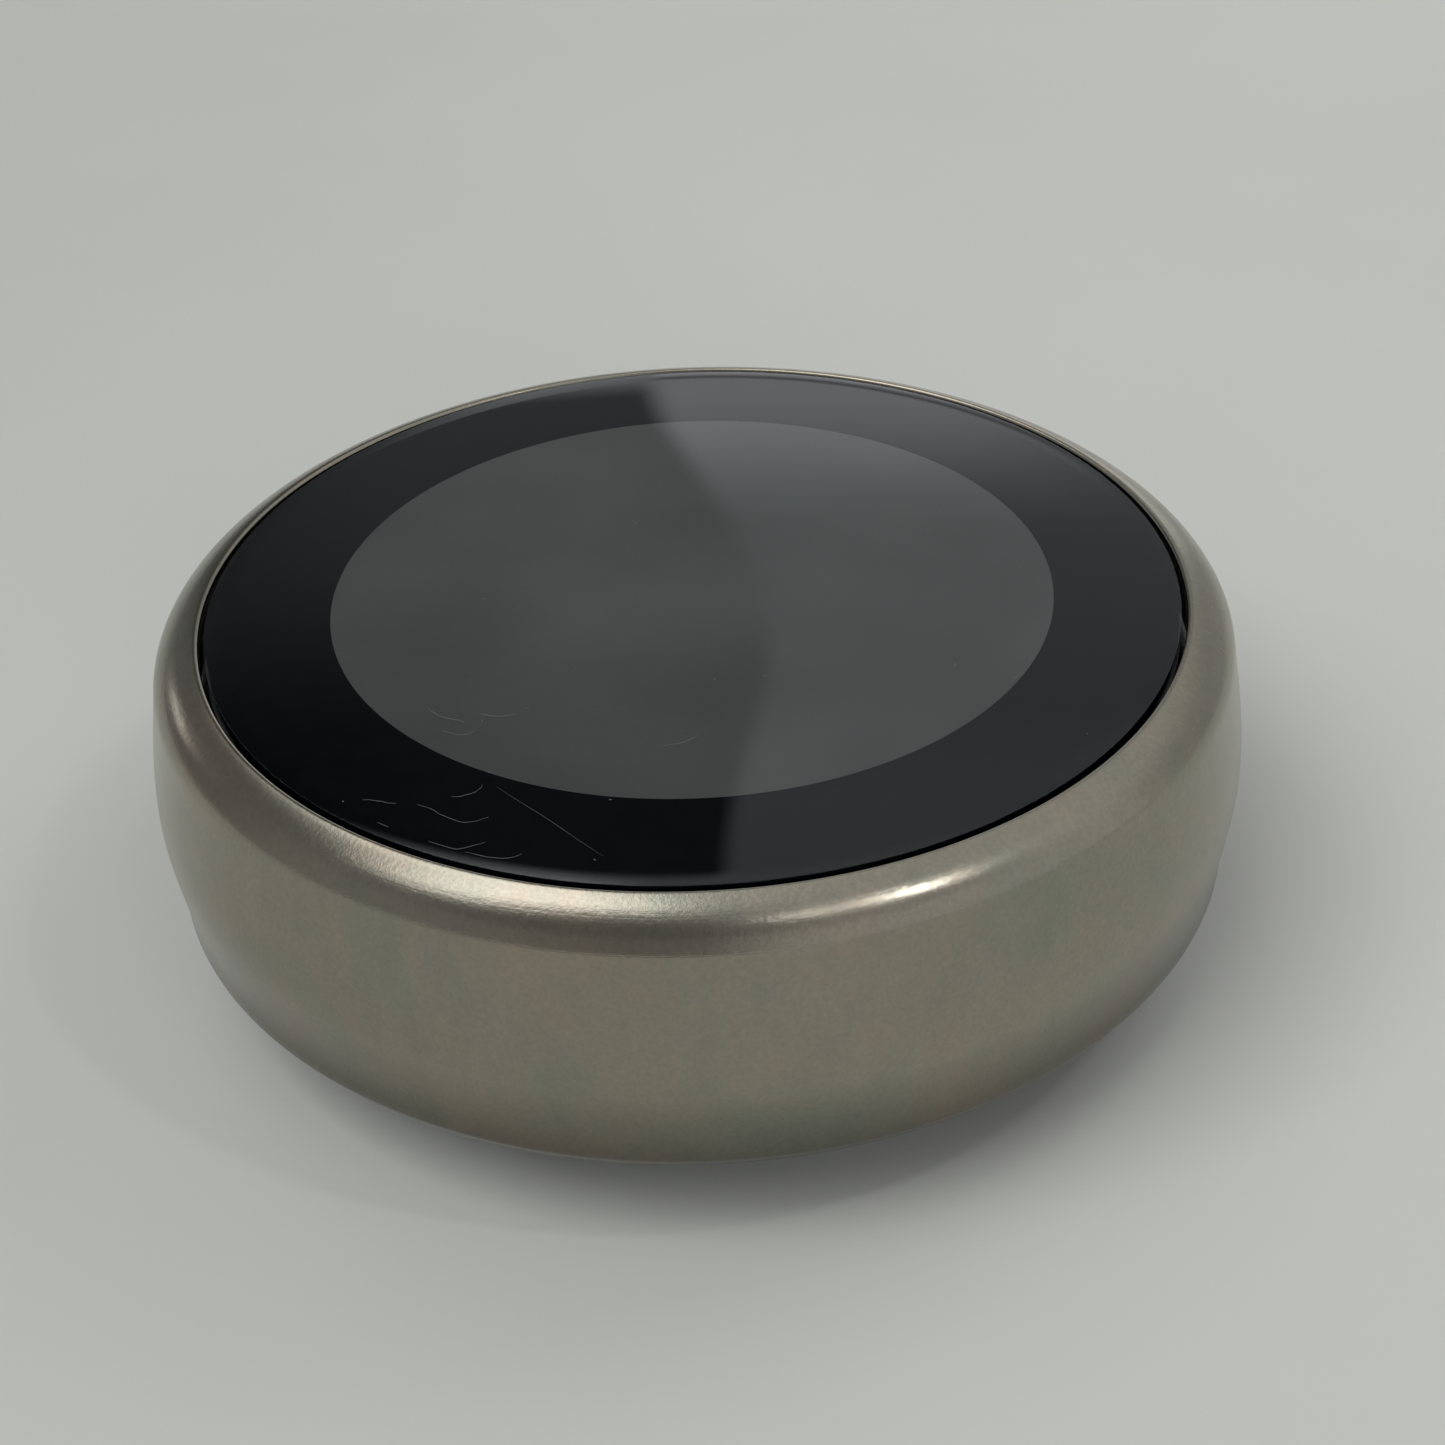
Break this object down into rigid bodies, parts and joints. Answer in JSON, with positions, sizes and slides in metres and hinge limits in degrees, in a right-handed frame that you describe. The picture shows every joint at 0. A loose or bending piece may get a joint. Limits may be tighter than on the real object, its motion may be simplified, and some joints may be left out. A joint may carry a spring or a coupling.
{
  "type": "wall thermostat",
  "caption": "Round wall thermostat: domed glass display in a turning steel ring that presses in as a button and lifts off a screw-down wall base with push terminals.",
  "frame": {"origin": "centre of the wall base's back face, on the ring's axis", "axes": "+Z out of the wall towards the glass, +Y towards the top of the dial, +X to its right"},
  "size_m": [0.084, 0.084, 0.0308],
  "materials": {
    "ring_steel": "satin stainless steel",
    "front_glass": "clear polished glass",
    "black_film": "printed black border",
    "display": "unlit display",
    "backlight_white": "diffuser",
    "black_plastic": "moulded",
    "dark_plastic": "moulded",
    "grey_plastic": "moulded",
    "white_plastic": "moulded",
    "ivory_plastic": "low friction",
    "board_green": "solder mask",
    "chip_black": "moulded",
    "contact_gold": "plated",
    "steel": "plain",
    "shield_tin": "tinned",
    "frame_aluminium": "stamped",
    "battery_wrap": "shrink wrap",
    "lead_red": "insulation",
    "flex_amber": "polyimide",
    "black_rubber": "matte",
    "vial_clear": "clear",
    "vial_fluid": "tinted"
  },
  "bodies": {
    "wall_base": {"base_plate": "grey_plastic", "base_cover": "white_plastic", "base_board": "board_green", "base_board_parts": "chip_black", "socket_body": "black_plastic", "socket_contacts": "contact_gold", "terminal_block_left": "grey_plastic", "terminal_block_right": "grey_plastic", "terminal_clips": "contact_gold", "level_vial": "vial_clear", "level_fluid": "vial_fluid", "base_cover_screws": "steel"},
    "terminal_tab_1_body": {"terminal_tab_1": "white_plastic"},
    "terminal_tab_2_body": {"terminal_tab_2": "white_plastic"},
    "terminal_tab_3_body": {"terminal_tab_3": "white_plastic"},
    "terminal_tab_4_body": {"terminal_tab_4": "white_plastic"},
    "terminal_tab_5_body": {"terminal_tab_5": "white_plastic"},
    "terminal_tab_6_body": {"terminal_tab_6": "white_plastic"},
    "terminal_tab_7_body": {"terminal_tab_7": "white_plastic"},
    "terminal_tab_8_body": {"terminal_tab_8": "white_plastic"},
    "terminal_tab_9_body": {"terminal_tab_9": "white_plastic"},
    "terminal_tab_10_body": {"terminal_tab_10": "white_plastic"},
    "rear_housing": {"rear_cup": "dark_plastic", "grip_pads": "black_rubber", "plug_body": "black_plastic", "plug_pins": "contact_gold", "link_board": "board_green", "link_flex": "flex_amber", "charging_port": "shield_tin", "guide_screws": "steel", "return_springs": "steel"},
    "plunger": {"switch_plunger": "black_plastic"},
    "display_head": {"lens": "front_glass", "blackout_film": "black_film", "lens_gasket": "black_rubber", "lcd_panel": "display", "backlight": "backlight_white", "lcd_frame": "frame_aluminium", "front_bezel": "black_plastic", "bezel_screws": "steel", "head_chassis": "dark_plastic", "glide_pads": "ivory_plastic", "retainer_ring": "steel", "retainer_screws": "steel", "main_board": "board_green", "board_screws": "steel", "processor_chips": "chip_black", "wifi_shield": "shield_tin", "battery_pack": "battery_wrap", "battery_lead": "lead_red", "display_flex": "flex_amber", "sensor_board": "board_green", "motion_sensors": "shield_tin", "sensor_lens": "black_plastic", "ring_sensor": "chip_black", "buzzer": "chip_black", "push_switch": "shield_tin"},
    "ring": {"ring_shell": "ring_steel", "ring_carrier": "black_plastic", "encoder_band": "white_plastic"}
  },
  "joints": [
    {"name": "head_liftoff", "type": "slide", "parent": "wall_base", "child": "rear_housing", "axis": [0, 0, 1], "range_m": [0, 0.02]},
    {"name": "head_press", "type": "slide", "parent": "rear_housing", "child": "display_head", "axis": [0, 0, -1], "range_m": [0, 0.0008], "stiffness_N_per_m": 3000, "springref_m": -0.0015, "deforming": ["return_springs", "link_flex"]},
    {"name": "switch_plunger_slide", "type": "slide", "parent": "display_head", "child": "plunger", "axis": [0, 0, 1], "range_m": [0, 0.0004]},
    {"name": "ring_spin", "type": "hinge", "parent": "display_head", "child": "ring", "pos_m": [0, 0, 0.0176], "axis": [0, 0, 1], "continuous": true},
    {"name": "terminal_tab_1_press", "type": "slide", "parent": "wall_base", "child": "terminal_tab_1_body", "axis": [0, 0, -1], "range_m": [0, 0.0008], "stiffness_N_per_m": 500, "springref_m": -0.0006},
    {"name": "terminal_tab_2_press", "type": "slide", "parent": "wall_base", "child": "terminal_tab_2_body", "axis": [0, 0, -1], "range_m": [0, 0.0008], "stiffness_N_per_m": 500, "springref_m": -0.0006},
    {"name": "terminal_tab_3_press", "type": "slide", "parent": "wall_base", "child": "terminal_tab_3_body", "axis": [0, 0, -1], "range_m": [0, 0.0008], "stiffness_N_per_m": 500, "springref_m": -0.0006},
    {"name": "terminal_tab_4_press", "type": "slide", "parent": "wall_base", "child": "terminal_tab_4_body", "axis": [0, 0, -1], "range_m": [0, 0.0008], "stiffness_N_per_m": 500, "springref_m": -0.0006},
    {"name": "terminal_tab_5_press", "type": "slide", "parent": "wall_base", "child": "terminal_tab_5_body", "axis": [0, 0, -1], "range_m": [0, 0.0008], "stiffness_N_per_m": 500, "springref_m": -0.0006},
    {"name": "terminal_tab_6_press", "type": "slide", "parent": "wall_base", "child": "terminal_tab_6_body", "axis": [0, 0, -1], "range_m": [0, 0.0008], "stiffness_N_per_m": 500, "springref_m": -0.0006},
    {"name": "terminal_tab_7_press", "type": "slide", "parent": "wall_base", "child": "terminal_tab_7_body", "axis": [0, 0, -1], "range_m": [0, 0.0008], "stiffness_N_per_m": 500, "springref_m": -0.0006},
    {"name": "terminal_tab_8_press", "type": "slide", "parent": "wall_base", "child": "terminal_tab_8_body", "axis": [0, 0, -1], "range_m": [0, 0.0008], "stiffness_N_per_m": 500, "springref_m": -0.0006},
    {"name": "terminal_tab_9_press", "type": "slide", "parent": "wall_base", "child": "terminal_tab_9_body", "axis": [0, 0, -1], "range_m": [0, 0.0008], "stiffness_N_per_m": 500, "springref_m": -0.0006},
    {"name": "terminal_tab_10_press", "type": "slide", "parent": "wall_base", "child": "terminal_tab_10_body", "axis": [0, 0, -1], "range_m": [0, 0.0008], "stiffness_N_per_m": 500, "springref_m": -0.0006}
  ],
  "couplings": [
    {"joint": "switch_plunger_slide", "follows": "head_press", "ratio": 0.5}
  ]
}
